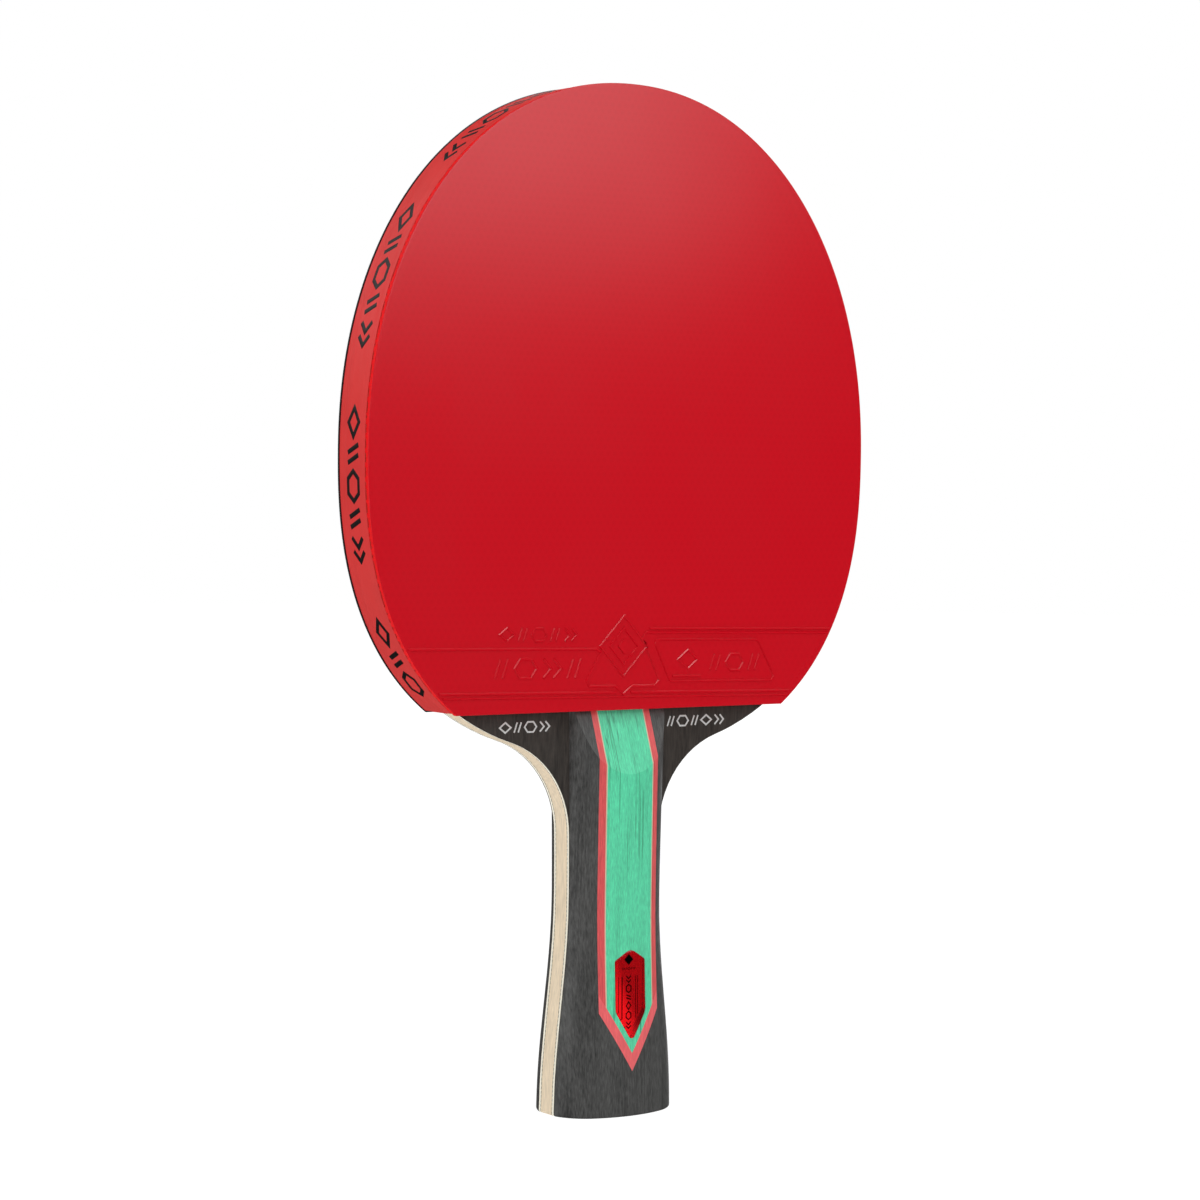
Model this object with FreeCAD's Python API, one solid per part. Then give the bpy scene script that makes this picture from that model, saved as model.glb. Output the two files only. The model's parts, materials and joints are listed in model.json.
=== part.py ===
"""Table tennis paddle: a carbon blade with two rubbers, an edge tape and an inlaid handle.

Frame, in millimetres: +Z runs up the paddle from the butt of the handle (Z = 0) to the tip of
the head, X is the width and Y the thickness.  Y = 0 is the middle of the blade, and the red
rubber faces -Y.  Every side that comes twice is made by one function with a sign: -1 is the
front, towards -Y, and +1 is the back.
"""
import math
import os

import FreeCAD
import Part

V = FreeCAD.Vector

# Head, as the rubbers are cut
HEAD_WIDTH = 150.0          # widest, across X
HEAD_RISE = 92.0            # from the widest line up to the tip
HEAD_DROP = 64.5            # from the widest line down to the rubber's straight bottom edge
UPPER_ROUNDNESS = 2.1       # exponent of the upper half's superellipse; 2 is an ellipse
LOWER_ROUNDNESS = 2.4       # exponent of the lower half's
BOTTOM_EDGE_HALF = 49.6     # half length of the rubber's straight bottom edge
WING_INSET = 2.8            # how far inside that edge's end the blade's own edge passes

# Blade plies, from the core outwards
CORE_THICKNESS = 4.9
CARBON_THICKNESS = 0.2
INNER_PLY_THICKNESS = 0.7
FACE_VENEER_THICKNESS = 0.3
NECK_RADIUS = 25.0          # hollow between the handle and the head's wings
BUTT_EASING = 0.7           # rounding of the butt's sanded corners

# Rubbers and edge tape
SPONGE_THICKNESS = 2.0
TOPSHEET_THICKNESS = 1.75
TAPE_THICKNESS = 0.4
TAPE_RED_GAP = 0.15         # bare sponge between the tape and the red sheet
TAPE_BLACK_GAP = 0.7        # bare wall left where the tape laps onto the black sheet
TAPE_LIFT = 0.3             # how far above the rubber's bottom edge the tape is cut off

# Handle
HANDLE_LENGTH = 102.0       # from the butt to the rubber's bottom edge
BUTT_HALF_WIDTH = 17.3
WAIST_HALF_WIDTH = 13.5
TOP_HALF_WIDTH = 14.4
BUTT_HALF_DEPTH = 13.0
WAIST_HALF_DEPTH = 11.2
WAIST_HEIGHT = 55.0         # narrowest place above the butt
BUTT_SHOULDER_INSET = 7.0   # from the blade's edge in to where the broad crown begins
WAIST_SHOULDER_INSET = 6.1
BUTT_SHOULDER_DROP = 1.8    # how much lower the crown is there than in the middle
WAIST_SHOULDER_DROP = 1.2
LIP_HEIGHT = 1.6            # scale left standing above the blade at the rubber's edge
BEVEL_ANGLE = 20.5          # slope of the thumb bevel, in degrees

# Inlays: strips that run through the whole scale, closed at the bottom by a V
INLAY_HALF_WIDTH = 8.9
RED_STRIP_WIDTH = 1.75
PALE_STRIP_WIDTH = 0.3
POINT_HEIGHT = 11.4         # tip of the V above the butt
POINT_SLOPE = 1.68          # rise of the V's sides for each millimetre of width
POINT_STRIP_WIDTH = 2.3     # width of the two red strips of the V

# Badge let into the front inlay
BADGE_TOP = 42.2            # apex of the badge before it is rounded
BADGE_BOTTOM = 18.6         # tip of the badge before it is rounded
BADGE_SHOULDER_DROP = 2.9   # from the apex down to the shoulders
BADGE_HALF_WIDTH = 4.6
BADGE_APEX_RADIUS = 2.5
BADGE_SHOULDER_RADIUS = 0.9
BADGE_HIP_RADIUS = 3.0
BADGE_TIP_RADIUS = 1.1
LENS_THICKNESS = 0.9
FOIL_THICKNESS = 0.15

# Worked out from the sizes above
RUBBER_EDGE = HANDLE_LENGTH
WIDEST = RUBBER_EDGE + HEAD_DROP
TIP = WIDEST + HEAD_RISE
CORE_HALF = CORE_THICKNESS / 2
CARBON_TOP = CORE_HALF + CARBON_THICKNESS
INNER_PLY_TOP = CARBON_TOP + INNER_PLY_THICKNESS
BLADE_HALF = INNER_PLY_TOP + FACE_VENEER_THICKNESS
SPONGE_TOP = BLADE_HALF + SPONGE_THICKNESS
RUBBER_TOP = SPONGE_TOP + TOPSHEET_THICKNESS
TAPE_RED_REACH = SPONGE_TOP - TAPE_RED_GAP
TAPE_BLACK_REACH = RUBBER_TOP - TAPE_BLACK_GAP
BADGE_DEPTH = LENS_THICKNESS + FOIL_THICKNESS
FRONT, BACK = -1, 1
CURVE_STEPS = 14            # points that carry a quarter of the head's outline
HANDLE_STEPS = 10           # sections that carry the handle's shape
MARGIN = 30.0               # how far the cutting tools reach past the piece they cut
TOUCH = 1e-4                # closer than this is touching


# ---- curves -------------------------------------------------------------------------------

def spline(points, start=None, end=None):
    """Smooth edge through the points, with the given directions at its two ends."""
    curve = Part.BSplineCurve()
    if start is None or end is None:
        curve.interpolate(Points=points)
    else:
        curve.interpolate(Points=points, InitialTangent=start, FinalTangent=end)
    return curve.toShape()


def arc_through(start, middle, end):
    return Part.Arc(start, middle, end).toShape()


def line(start, end):
    return Part.LineSegment(start, end).toShape()


def superellipse(half_width, height, power, turn):
    """Point of a superellipse: turn 0 is on its widest line and turn 1 at its top."""
    angle = turn * math.pi / 2
    across = half_width * math.cos(angle) ** (2 / power)
    along = height * math.sin(angle) ** (2 / power)
    return across, along


def turn_at_height(height_share, power):
    """The turn at which a superellipse has risen to this share of its height."""
    return math.asin(height_share ** (power / 2)) / (math.pi / 2)


def smooth_rise(share):
    """0 to 1 with level ends, for a share from 0 to 1."""
    return (1 - math.cos(math.pi * min(max(share, 0.0), 1.0))) / 2


def flared(waist_size, butt_size, z):
    """A size that grows smoothly from the waist down to the butt."""
    return waist_size + (butt_size - waist_size) * smooth_rise(1 - z / WAIST_HEIGHT)


def handle_half_width(z):
    """Half width of the handle: flared to the butt, and widening gently above the waist."""
    if z < WAIST_HEIGHT:
        return flared(WAIST_HALF_WIDTH, BUTT_HALF_WIDTH, z)
    share = (z - WAIST_HEIGHT) / (HANDLE_LENGTH - WAIST_HEIGHT)
    return WAIST_HALF_WIDTH + (TOP_HALF_WIDTH - WAIST_HALF_WIDTH) * share ** 1.5


def handle_half_depth(z):
    """Height of the crown above the blade's middle."""
    return flared(WAIST_HALF_DEPTH, BUTT_HALF_DEPTH, z)


# ---- head and blade outlines --------------------------------------------------------------

def upper_half_points(inset):
    """Right half of the head above the widest line, from the widest point to the tip."""
    half_width = HEAD_WIDTH / 2 - inset
    points = []
    for step in range(CURVE_STEPS + 1):
        x, rise = superellipse(half_width, HEAD_RISE - inset, UPPER_ROUNDNESS, step / CURVE_STEPS)
        points.append(V(x, 0, WIDEST + rise))
    points[-1].x = 0.0
    return points


def lower_reach(half_width, edge_half):
    """Semi-height of the lower superellipse that is edge_half wide at the rubber's bottom edge."""
    share = 1 - (edge_half / half_width) ** LOWER_ROUNDNESS
    return HEAD_DROP / share ** (1 / LOWER_ROUNDNESS)


def lower_half_points(half_width, reach, lowest):
    """Right half of the head below the widest line, down to the height named lowest."""
    last = turn_at_height((WIDEST - lowest) / reach, LOWER_ROUNDNESS)
    points = []
    for step in range(CURVE_STEPS + 1):
        x, drop = superellipse(half_width, reach, LOWER_ROUNDNESS, last * step / CURVE_STEPS)
        points.append(V(x, 0, WIDEST - drop))
    return points


def mirrored(points):
    return [V(-p.x, p.y, p.z) for p in reversed(points)]


def crown_edge(inset):
    """The head's upper half as one edge, from the right-hand widest point to the left one."""
    right = upper_half_points(inset)
    return spline(right + mirrored(right)[1:], V(0, 0, 1), V(0, 0, -1))


def head_wire(inset=0.0, bottom=RUBBER_EDGE):
    """Outline of a rubber: the head, cut off straight at the bottom."""
    half_width = HEAD_WIDTH / 2 - inset
    right = lower_half_points(half_width, lower_reach(half_width, BOTTOM_EDGE_HALF - inset), bottom)
    slope = right[-1] - right[-2]
    side = spline(right, V(0, 0, -1), slope)
    left = mirrored(right)
    other = spline(left, V(slope.x, 0, -slope.z), V(0, 0, 1))
    return Part.Wire([side, line(right[-1], left[0]), other, crown_edge(inset).reversed()])


def neck_centre_and_foot(half_width, reach):
    """Centre of the hollow of the neck, and where it leaves the wing of the head.

    A circle of NECK_RADIUS that touches the wing has its centre one radius out along the wing's
    normal.  The wing is searched for the place where that centre is also one radius out from
    the side of the handle.
    """
    low, high = 0.30, 0.999
    for _ in range(60):
        turn = (low + high) / 2
        x, drop = superellipse(half_width, reach, LOWER_ROUNDNESS, turn)
        across = (x / half_width) ** (LOWER_ROUNDNESS - 1) / half_width
        along = (drop / reach) ** (LOWER_ROUNDNESS - 1) / reach
        size = math.hypot(across, along)
        centre = V(x + NECK_RADIUS * across / size, 0, WIDEST - drop - NECK_RADIUS * along / size)
        if centre.x > handle_half_width(centre.z) + NECK_RADIUS:
            low = turn
        else:
            high = turn
    return centre, V(x, 0, WIDEST - drop)


def blade_wire():
    """Outline of every ply: head, hollow neck, and handle down to the eased butt corners."""
    half_width = HEAD_WIDTH / 2 - TAPE_THICKNESS
    reach = lower_reach(half_width, BOTTOM_EDGE_HALF - WING_INSET)
    centre, foot = neck_centre_and_foot(half_width, reach)
    wing = lower_half_points(half_width, reach, foot.z)
    tangent = V(foot.z - centre.z, 0, centre.x - foot.x).multiply(-1.0)
    joint = V(centre.x - NECK_RADIUS, 0, centre.z)
    half_way = ((foot - centre) + (joint - centre)).normalize()
    hollow = centre + half_way * NECK_RADIUS
    grip = [joint]
    for step in range(HANDLE_STEPS):
        z = joint.z + (BUTT_EASING - joint.z) * (step + 1) / HANDLE_STEPS
        grip.append(V(handle_half_width(z), 0, z))
    grip_end = grip[-1] - grip[-2]
    corner = V(grip[-1].x - BUTT_EASING, 0, 0)
    bend = V(grip[-1].x - BUTT_EASING * (1 - math.sqrt(0.5)), 0, BUTT_EASING * (1 - math.sqrt(0.5)))
    right = [
        spline(wing, V(0, 0, -1), tangent),
        arc_through(foot, hollow, joint),
        spline(grip, V(0, 0, -1), grip_end),
        arc_through(grip[-1], bend, corner),
    ]
    mirror = FreeCAD.Matrix()
    mirror.A11 = -1
    left = [edge.transformGeometry(mirror) for edge in right]
    butt = line(corner, V(-corner.x, 0, 0))
    return Part.Wire(Part.__sortEdges__(right + [butt] + left + [crown_edge(TAPE_THICKNESS)]))


def slab(wire, low, high, side):
    """Solid between two heights above the blade's middle, on one side of it."""
    face = Part.Face(wire)
    face.translate(V(0, side * low, 0))
    return face.extrude(V(0, side * (high - low), 0))


# ---- blade, rubbers and tape --------------------------------------------------------------

def core_ply():
    face = Part.Face(blade_wire())
    face.translate(V(0, -CORE_HALF, 0))
    return face.extrude(V(0, CORE_THICKNESS, 0))


def carbon_ply(side):
    return slab(blade_wire(), CORE_HALF, CARBON_TOP, side)


def inner_ply(side):
    return slab(blade_wire(), CARBON_TOP, INNER_PLY_TOP, side)


def face_veneer(side):
    return slab(blade_wire(), INNER_PLY_TOP, BLADE_HALF, side)


def sponge(side):
    """Sponge layer, set in from the topsheet by the tape that wraps it."""
    return slab(head_wire(TAPE_THICKNESS), BLADE_HALF, SPONGE_TOP, side)


def topsheet(side):
    """Playing sheet, its wall pressed in as deep as the tape where the tape laps onto it."""
    reach = TAPE_RED_REACH if side == FRONT else TAPE_BLACK_REACH
    if reach <= SPONGE_TOP:
        return slab(head_wire(), SPONGE_TOP, RUBBER_TOP, side)
    lapped = slab(head_wire(TAPE_THICKNESS, RUBBER_EDGE), SPONGE_TOP, reach, side)
    return lapped.fuse(slab(head_wire(), reach, RUBBER_TOP, side)).removeSplitter()


def edge_tape():
    """Band round the head's edge, open at the handle, that wraps the blade and the sponges."""
    bottom = RUBBER_EDGE + TAPE_LIFT
    outer = Part.Face(head_wire(0.0, bottom))
    inner = Part.Face(head_wire(TAPE_THICKNESS, RUBBER_EDGE))
    band = outer.cut(inner)
    band.translate(V(0, FRONT * TAPE_RED_REACH, 0))
    tape = band.extrude(V(0, TAPE_RED_REACH + TAPE_BLACK_REACH, 0))
    half = HEAD_WIDTH / 2 + MARGIN
    below = Part.makeBox(2 * half, 2 * MARGIN, bottom + MARGIN, V(-half, -MARGIN, -MARGIN))
    return tape.cut(below)


# ---- handle -------------------------------------------------------------------------------

def crown(z):
    """Half length, drop and radius of the broad arc over the handle's section at a height."""
    half_length = handle_half_width(z) - flared(WAIST_SHOULDER_INSET, BUTT_SHOULDER_INSET, z)
    drop = flared(WAIST_SHOULDER_DROP, BUTT_SHOULDER_DROP, z)
    return half_length, drop, (half_length ** 2 + drop ** 2) / (2 * drop)


def section_wire(z):
    """Half section of the handle on the +Y side: flat on the blade, two corners and a crown.

    A corner arc leaves the crown in the crown's own direction and ends on the blade's edge, so
    its radius is the squared distance of those two points over twice its share along the normal.
    """
    crest = handle_half_depth(z)
    half_length, drop, crown_radius = crown(z)
    shoulder = V(half_length, crest - drop, z)
    foot = V(handle_half_width(z), BLADE_HALF, z)
    inward = (V(0, crest - crown_radius, z) - shoulder).normalize()
    reach = foot - shoulder
    corner_radius = reach.dot(reach) / (2 * reach.dot(inward))
    centre = shoulder + inward * corner_radius
    half_way = ((shoulder - centre) + (foot - centre)).normalize()
    middle = centre + half_way * corner_radius
    other_foot, other_middle, other_shoulder = mirrored([shoulder, middle, foot])
    return Part.Wire([
        line(other_foot, foot),
        arc_through(foot, middle, shoulder),
        arc_through(shoulder, V(0, crest, z), other_shoulder),
        arc_through(other_shoulder, other_middle, other_foot),
    ])


def handle_half():
    """One half of the handle above the blade, before its inlays are let in."""
    sections = [section_wire(HANDLE_LENGTH * step / HANDLE_STEPS) for step in range(HANDLE_STEPS + 1)]
    block = Part.makeLoft(sections, True, False)
    rim = [edge for edge in block.Edges
           if abs(edge.BoundBox.ZMax) < TOUCH and edge.BoundBox.YLength > TOUCH]
    block = block.makeFillet(BUTT_EASING, rim)
    return block.cut(bevel_tool())


def bevel_tool():
    """Wedge that planes the thumb bevel, rising from the lip at the rubber's edge."""
    slope = math.tan(math.radians(BEVEL_ANGLE))
    lip = BLADE_HALF + LIP_HEIGHT
    top = HANDLE_LENGTH + MARGIN
    rise = BUTT_HALF_DEPTH + MARGIN
    corners = [
        V(-MARGIN, lip - MARGIN * slope, top),
        V(-MARGIN, rise, top),
        V(-MARGIN, rise, HANDLE_LENGTH - (rise - lip) / slope),
    ]
    face = Part.Face(Part.makePolygon(corners + corners[:1]))
    return face.extrude(V(2 * MARGIN, 0, 0))


def prism(corners):
    """Column through the handle's depth whose outline in X and Z has these corners."""
    points = [V(x, 0, z) for x, z in corners]
    return Part.Face(Part.makePolygon(points + points[:1])).extrude(V(0, BUTT_HALF_DEPTH + MARGIN, 0))


def point_line(x, lift=0.0):
    """Height of the V's side at a distance x from the middle, raised by lift."""
    return POINT_HEIGHT + lift + POINT_SLOPE * abs(x)


def point_lift():
    """How much higher the V's inner line stands than its outer one."""
    return POINT_STRIP_WIDTH * math.hypot(1, POINT_SLOPE)


def strip_prism(inner, outer, side):
    """Straight strip between two distances from the middle, ending on the V's inner line."""
    lift = point_lift()
    top = HANDLE_LENGTH + MARGIN
    return prism([(side * inner, point_line(inner, lift)), (side * outer, point_line(outer, lift)),
                  (side * outer, top), (side * inner, top)])


def green_prism():
    half = INLAY_HALF_WIDTH - RED_STRIP_WIDTH - PALE_STRIP_WIDTH
    lift = point_lift()
    top = HANDLE_LENGTH + MARGIN
    return prism([(0, point_line(0, lift)), (half, point_line(half, lift)), (half, top),
                  (-half, top), (-half, point_line(half, lift))])


def point_strip_prism(side):
    """One red strip of the V, from the tip up to the inlay's outer edge."""
    half = INLAY_HALF_WIDTH
    lift = point_lift()
    return prism([(0, point_line(0)), (side * half, point_line(half)),
                  (side * half, point_line(half, lift)), (0, point_line(0, lift))])


def inlay_prism():
    """The whole inlaid field: what the dark scale is cut away for."""
    half = INLAY_HALF_WIDTH
    top = HANDLE_LENGTH + MARGIN
    return prism([(0, point_line(0)), (half, point_line(half)), (half, top),
                  (-half, top), (-half, point_line(half))])


def rounded_wire(corners, radii):
    """Closed outline in the X-Z plane with each corner rounded by its own radius."""
    edges = []
    starts, ends = [], []
    for index, radius in enumerate(radii):
        corner = V(corners[index][0], 0, corners[index][1])
        before = V(corners[index - 1][0], 0, corners[index - 1][1]) - corner
        after = V(corners[(index + 1) % len(corners)][0], 0, corners[(index + 1) % len(corners)][1]) - corner
        half_angle = before.getAngle(after) / 2
        back_off = radius / math.tan(half_angle)
        before.normalize()
        after.normalize()
        inward = (before + after).normalize()
        middle = corner + inward * (radius / math.sin(half_angle) - radius)
        starts.append(corner + before * back_off)
        ends.append(corner + after * back_off)
        edges.append(arc_through(starts[-1], middle, ends[-1]))
    for index in range(len(corners)):
        edges.append(line(ends[index - 1], starts[index]))
    return Part.Wire(Part.__sortEdges__(edges))


def badge_wire():
    """Badge outline: a low roof, straight sides, and sides that close on a rounded tip."""
    half = BADGE_HALF_WIDTH
    shoulder = BADGE_TOP - BADGE_SHOULDER_DROP
    hip = BADGE_BOTTOM + POINT_SLOPE * half
    corners = [(0, BADGE_TOP), (half, shoulder), (half, hip), (0, BADGE_BOTTOM), (-half, hip), (-half, shoulder)]
    radii = [BADGE_APEX_RADIUS, BADGE_SHOULDER_RADIUS, BADGE_HIP_RADIUS,
             BADGE_TIP_RADIUS, BADGE_HIP_RADIUS, BADGE_SHOULDER_RADIUS]
    return rounded_wire(corners, radii)


def badge_floor(depth):
    """Height of the badge pocket's flat floor, a depth below the lowest of the crown there."""
    edges = []
    for z in (BADGE_BOTTOM, BADGE_TOP):
        radius = crown(z)[-1]
        edges.append(handle_half_depth(z) - radius + math.sqrt(radius ** 2 - BADGE_HALF_WIDTH ** 2))
    return min(edges) - depth


def badge_column(low, high):
    face = Part.Face(badge_wire())
    face.translate(V(0, low, 0))
    return face.extrude(V(0, high - low, 0))


def on_side(shape, side):
    """A shape made on the back, +Y, as it is; for the front it is mirrored."""
    return shape if side == BACK else shape.mirror(V(0, 0, 0), V(0, 1, 0))


def handle_pieces(side):
    """Scale and inlays of one half of the handle, by name; the badge is in the front one."""
    half = handle_half()
    tag = "front" if side == FRONT else "back"
    line_inner = INLAY_HALF_WIDTH - RED_STRIP_WIDTH - PALE_STRIP_WIDTH
    line_outer = INLAY_HALF_WIDTH - RED_STRIP_WIDTH
    pieces = {
        f"handle_scale_{tag}": half.cut(inlay_prism()),
        f"green_inlay_{tag}": half.common(green_prism()),
    }
    for hand, across in (("left", -1), ("right", 1)):
        pieces[f"pale_line_{tag}_{hand}"] = half.common(strip_prism(line_inner, line_outer, across))
        pieces[f"red_strip_{tag}_{hand}"] = half.common(strip_prism(line_outer, INLAY_HALF_WIDTH, across))
        pieces[f"red_point_{tag}_{hand}"] = half.common(point_strip_prism(across))
    if side == FRONT:
        floor = badge_floor(BADGE_DEPTH)
        top = BUTT_HALF_DEPTH + MARGIN
        pieces["green_inlay_front"] = pieces["green_inlay_front"].cut(badge_column(floor, top))
        pieces["badge_foil"] = badge_column(floor, floor + FOIL_THICKNESS)
        pieces["badge_lens"] = half.common(badge_column(floor + FOIL_THICKNESS, top))
    return {name: on_side(shape, side) for name, shape in pieces.items()}


# ---- all pieces ---------------------------------------------------------------------------

def all_pieces():
    pieces = {"core_ply": core_ply(), "edge_tape": edge_tape()}
    for tag, side in (("front", FRONT), ("back", BACK)):
        pieces[f"carbon_ply_{tag}"] = carbon_ply(side)
        pieces[f"inner_ply_{tag}"] = inner_ply(side)
        pieces[f"face_veneer_{tag}"] = face_veneer(side)
        pieces[f"sponge_{tag}"] = sponge(side)
        pieces[f"topsheet_{tag}"] = topsheet(side)
        pieces.update(handle_pieces(side))
    return pieces


os.makedirs("parts", exist_ok=True)
for name, shape in sorted(all_pieces().items()):
    if not shape.isValid() or not shape.Solids:
        raise ValueError(f"{name} is not a sound solid")
    solid = shape.Solids[0] if len(shape.Solids) == 1 else shape
    solid.exportStep(f"parts/{name}.step")
    print(f"{name:24s} solids {len(shape.Solids)}  volume {shape.Volume:10.1f} mm3")
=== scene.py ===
"""Visible pieces, finishes and studio of a table tennis paddle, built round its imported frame.

The frame's own wooden pieces stay and get their finishes here.  The rubbers, sponges, edge tape
and badge lens are replaced by finer surfaces.  Lengths are in metres.  X is the width, Z runs up
from the butt, and the red rubber faces -Y: a side is -1 for the front and +1 for the back.
"""
import json
import math

import bpy
import numpy as np
from bpy.props import FloatProperty, FloatVectorProperty, PointerProperty
from mathutils import Matrix, Vector


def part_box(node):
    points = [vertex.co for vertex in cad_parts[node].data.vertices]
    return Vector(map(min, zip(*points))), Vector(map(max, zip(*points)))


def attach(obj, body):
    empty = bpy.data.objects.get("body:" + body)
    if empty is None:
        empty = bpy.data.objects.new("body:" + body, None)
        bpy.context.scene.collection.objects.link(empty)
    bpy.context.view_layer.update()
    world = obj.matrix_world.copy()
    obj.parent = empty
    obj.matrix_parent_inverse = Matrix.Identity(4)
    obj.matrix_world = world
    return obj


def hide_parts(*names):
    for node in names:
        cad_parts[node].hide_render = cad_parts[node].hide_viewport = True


bl_info = {
    "name": "Table tennis paddle",
    "version": (1, 0, 0),
    "blender": (4, 5, 0),
    "location": "3D View > Sidebar > Paddle",
    "description": "Builds the rubbers, tape, badge, finishes and studio of a table tennis paddle",
    "category": "Object",
}

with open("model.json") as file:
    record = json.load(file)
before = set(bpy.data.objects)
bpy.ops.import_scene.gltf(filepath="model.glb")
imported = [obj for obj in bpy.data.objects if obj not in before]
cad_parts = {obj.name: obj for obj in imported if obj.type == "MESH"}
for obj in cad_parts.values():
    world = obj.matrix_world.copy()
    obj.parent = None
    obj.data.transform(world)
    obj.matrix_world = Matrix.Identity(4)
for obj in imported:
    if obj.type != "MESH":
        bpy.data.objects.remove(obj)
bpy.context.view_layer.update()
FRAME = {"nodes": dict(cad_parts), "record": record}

MM = 0.001
HAIR = 0.02 * MM  # a clearance or thickness too fine to see
FRONT, BACK = -1, 1
TAGS = ((FRONT, "front"), (BACK, "back"))
UPPER_ROUNDNESS = 2.1
LOWER_ROUNDNESS = 2.4


# ---- sizes read from the frame ----

def array_of(items, key, width=3, kind=float):
    """What a key holds for each vertex, corner or face, as an array with one row for each."""
    values = np.empty(len(items) * width, kind)
    items.foreach_get(key, values)
    return values.reshape(-1, width)


def head_sizes():
    """The head's half width, and its bottom, widest line, tip and half bottom edge."""
    points = array_of(FRAME["nodes"]["topsheet_front"].data.vertices, "co")
    low, high = points.min(0), points.max(0)
    widest = next(m["pos_m"][2] for m in FRAME["record"]["mounts"] if m["name"] == "red_face")
    edge = points[points[:, 2] < low[2] + HAIR, 0].max()
    return {"half": high[0], "bottom": low[2], "tip": high[2], "widest": widest, "edge": edge}


HEAD = head_sizes()
SPONGE_FOOT, SPONGE_TOP = (corner.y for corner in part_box("sponge_back"))
RUBBER_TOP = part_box("topsheet_back")[1].y
TAPE_LOW, TAPE_HIGH = (corner.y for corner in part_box("edge_tape"))
TAPE_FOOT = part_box("edge_tape")[0].z
TAPE_THICKNESS = HEAD["half"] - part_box("sponge_back")[1].x


# ---- mesh work ----

def shell(points, quads, triangles):
    """A closed surface with its faces outwards: turned over where its signed volume is negative."""
    fans = np.concatenate([quads[:, [0, 1, 2]], quads[:, [0, 2, 3]], triangles])
    a, b, c = (points[fans[:, k]] for k in range(3))
    if np.einsum("ij,ij->i", a, np.cross(b, c)).sum() < 0:
        quads, triangles = quads[:, ::-1], triangles[:, ::-1]
    return points, quads, triangles


def carried(rings, looped=False):
    """Closed surfaces through rings of points, an array of (pieces, rows, around, 3).

    Point (row, step) of the grid joins its neighbours both ways round.  A looped piece's last row
    joins its first; otherwise each end ring is closed by a fan to its mean point.
    """
    pieces, rows, around = rings.shape[:3]
    index = np.arange(pieces * rows * around).reshape(pieces, rows, around)
    after = np.roll(index, -1, axis=2)
    if looped:
        low, low_after = index, after
        high, high_after = np.roll(index, -1, axis=1), np.roll(after, -1, axis=1)
    else:
        low, low_after, high, high_after = index[:, :-1], after[:, :-1], index[:, 1:], after[:, 1:]
    quads = np.stack([low, low_after, high_after, high], -1).reshape(-1, 4)
    points = rings.reshape(-1, 3)
    triangles = np.empty((0, 3), int)
    if not looped:
        first = len(points) + np.arange(pieces)[:, None] + np.zeros(around, int)
        last = first + pieces
        points = np.concatenate([points, rings[:, 0].mean(1), rings[:, -1].mean(1)])
        triangles = np.concatenate([
            np.stack([after[:, 0], index[:, 0], first], -1).reshape(-1, 3),
            np.stack([index[:, -1], after[:, -1], last], -1).reshape(-1, 3),
        ])
    return shell(points, quads, triangles)


def mesh_of(name, shells, materials, crease=35.0):
    """One mesh made of closed shells, smooth but for creases sharper than an angle in degrees."""
    starts = np.cumsum([0] + [len(s[0]) for s in shells])
    points = np.concatenate([s[0] for s in shells])
    quads = np.concatenate([s[1] + start for s, start in zip(shells, starts)])
    triangles = np.concatenate([s[2] + start for s, start in zip(shells, starts)])
    corners = np.concatenate([quads.ravel(), triangles.ravel()]).astype(np.int32)
    counts = np.repeat([4, 3], [len(quads), len(triangles)])
    mesh = bpy.data.meshes.new(name)
    mesh.vertices.add(len(points))
    mesh.vertices.foreach_set("co", points.ravel().astype(np.float32))
    mesh.loops.add(len(corners))
    mesh.loops.foreach_set("vertex_index", corners)
    mesh.polygons.add(len(counts))
    mesh.polygons.foreach_set("loop_start", (np.cumsum(counts) - counts).astype(np.int32))
    mesh.update(calc_edges=True)
    if mesh.validate():
        raise RuntimeError(f"{name} has faulty faces")
    mesh.shade_smooth()
    mesh.set_sharp_from_angle(angle=math.radians(crease))
    for material in materials:
        mesh.materials.append(material)
    return mesh


def add_object(name, data):
    made = bpy.data.objects.new(name, data)
    bpy.context.scene.collection.objects.link(made)
    return made


def add_piece(name, shells, materials, slot, replaced=(), **settings):
    """One object made of closed shells, riding on the frame; its slot argument is not used."""
    piece = add_object(name, mesh_of(name, shells, materials, **settings))
    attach(piece, "root")
    if replaced:
        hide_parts(*replaced)
    return piece


def paint_walls(piece, top):
    """The second material goes on faces that look sideways and lie nearer the blade than top."""
    faces = piece.data.polygons
    sideways = np.abs(array_of(faces, "normal")[:, 1]) < 0.5
    inside = np.abs(array_of(faces, "center")[:, 1]) < top
    faces.foreach_set("material_index", (sideways & inside).astype(np.int32))


# ---- outlines ----

def lower_reach(half, edge):
    """How far below the widest line an outline would close that is as wide as the bottom edge there."""
    drop = HEAD["widest"] - HEAD["bottom"]
    return drop / (1 - (edge / half) ** LOWER_ROUNDNESS) ** (1 / LOWER_ROUNDNESS)


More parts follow.
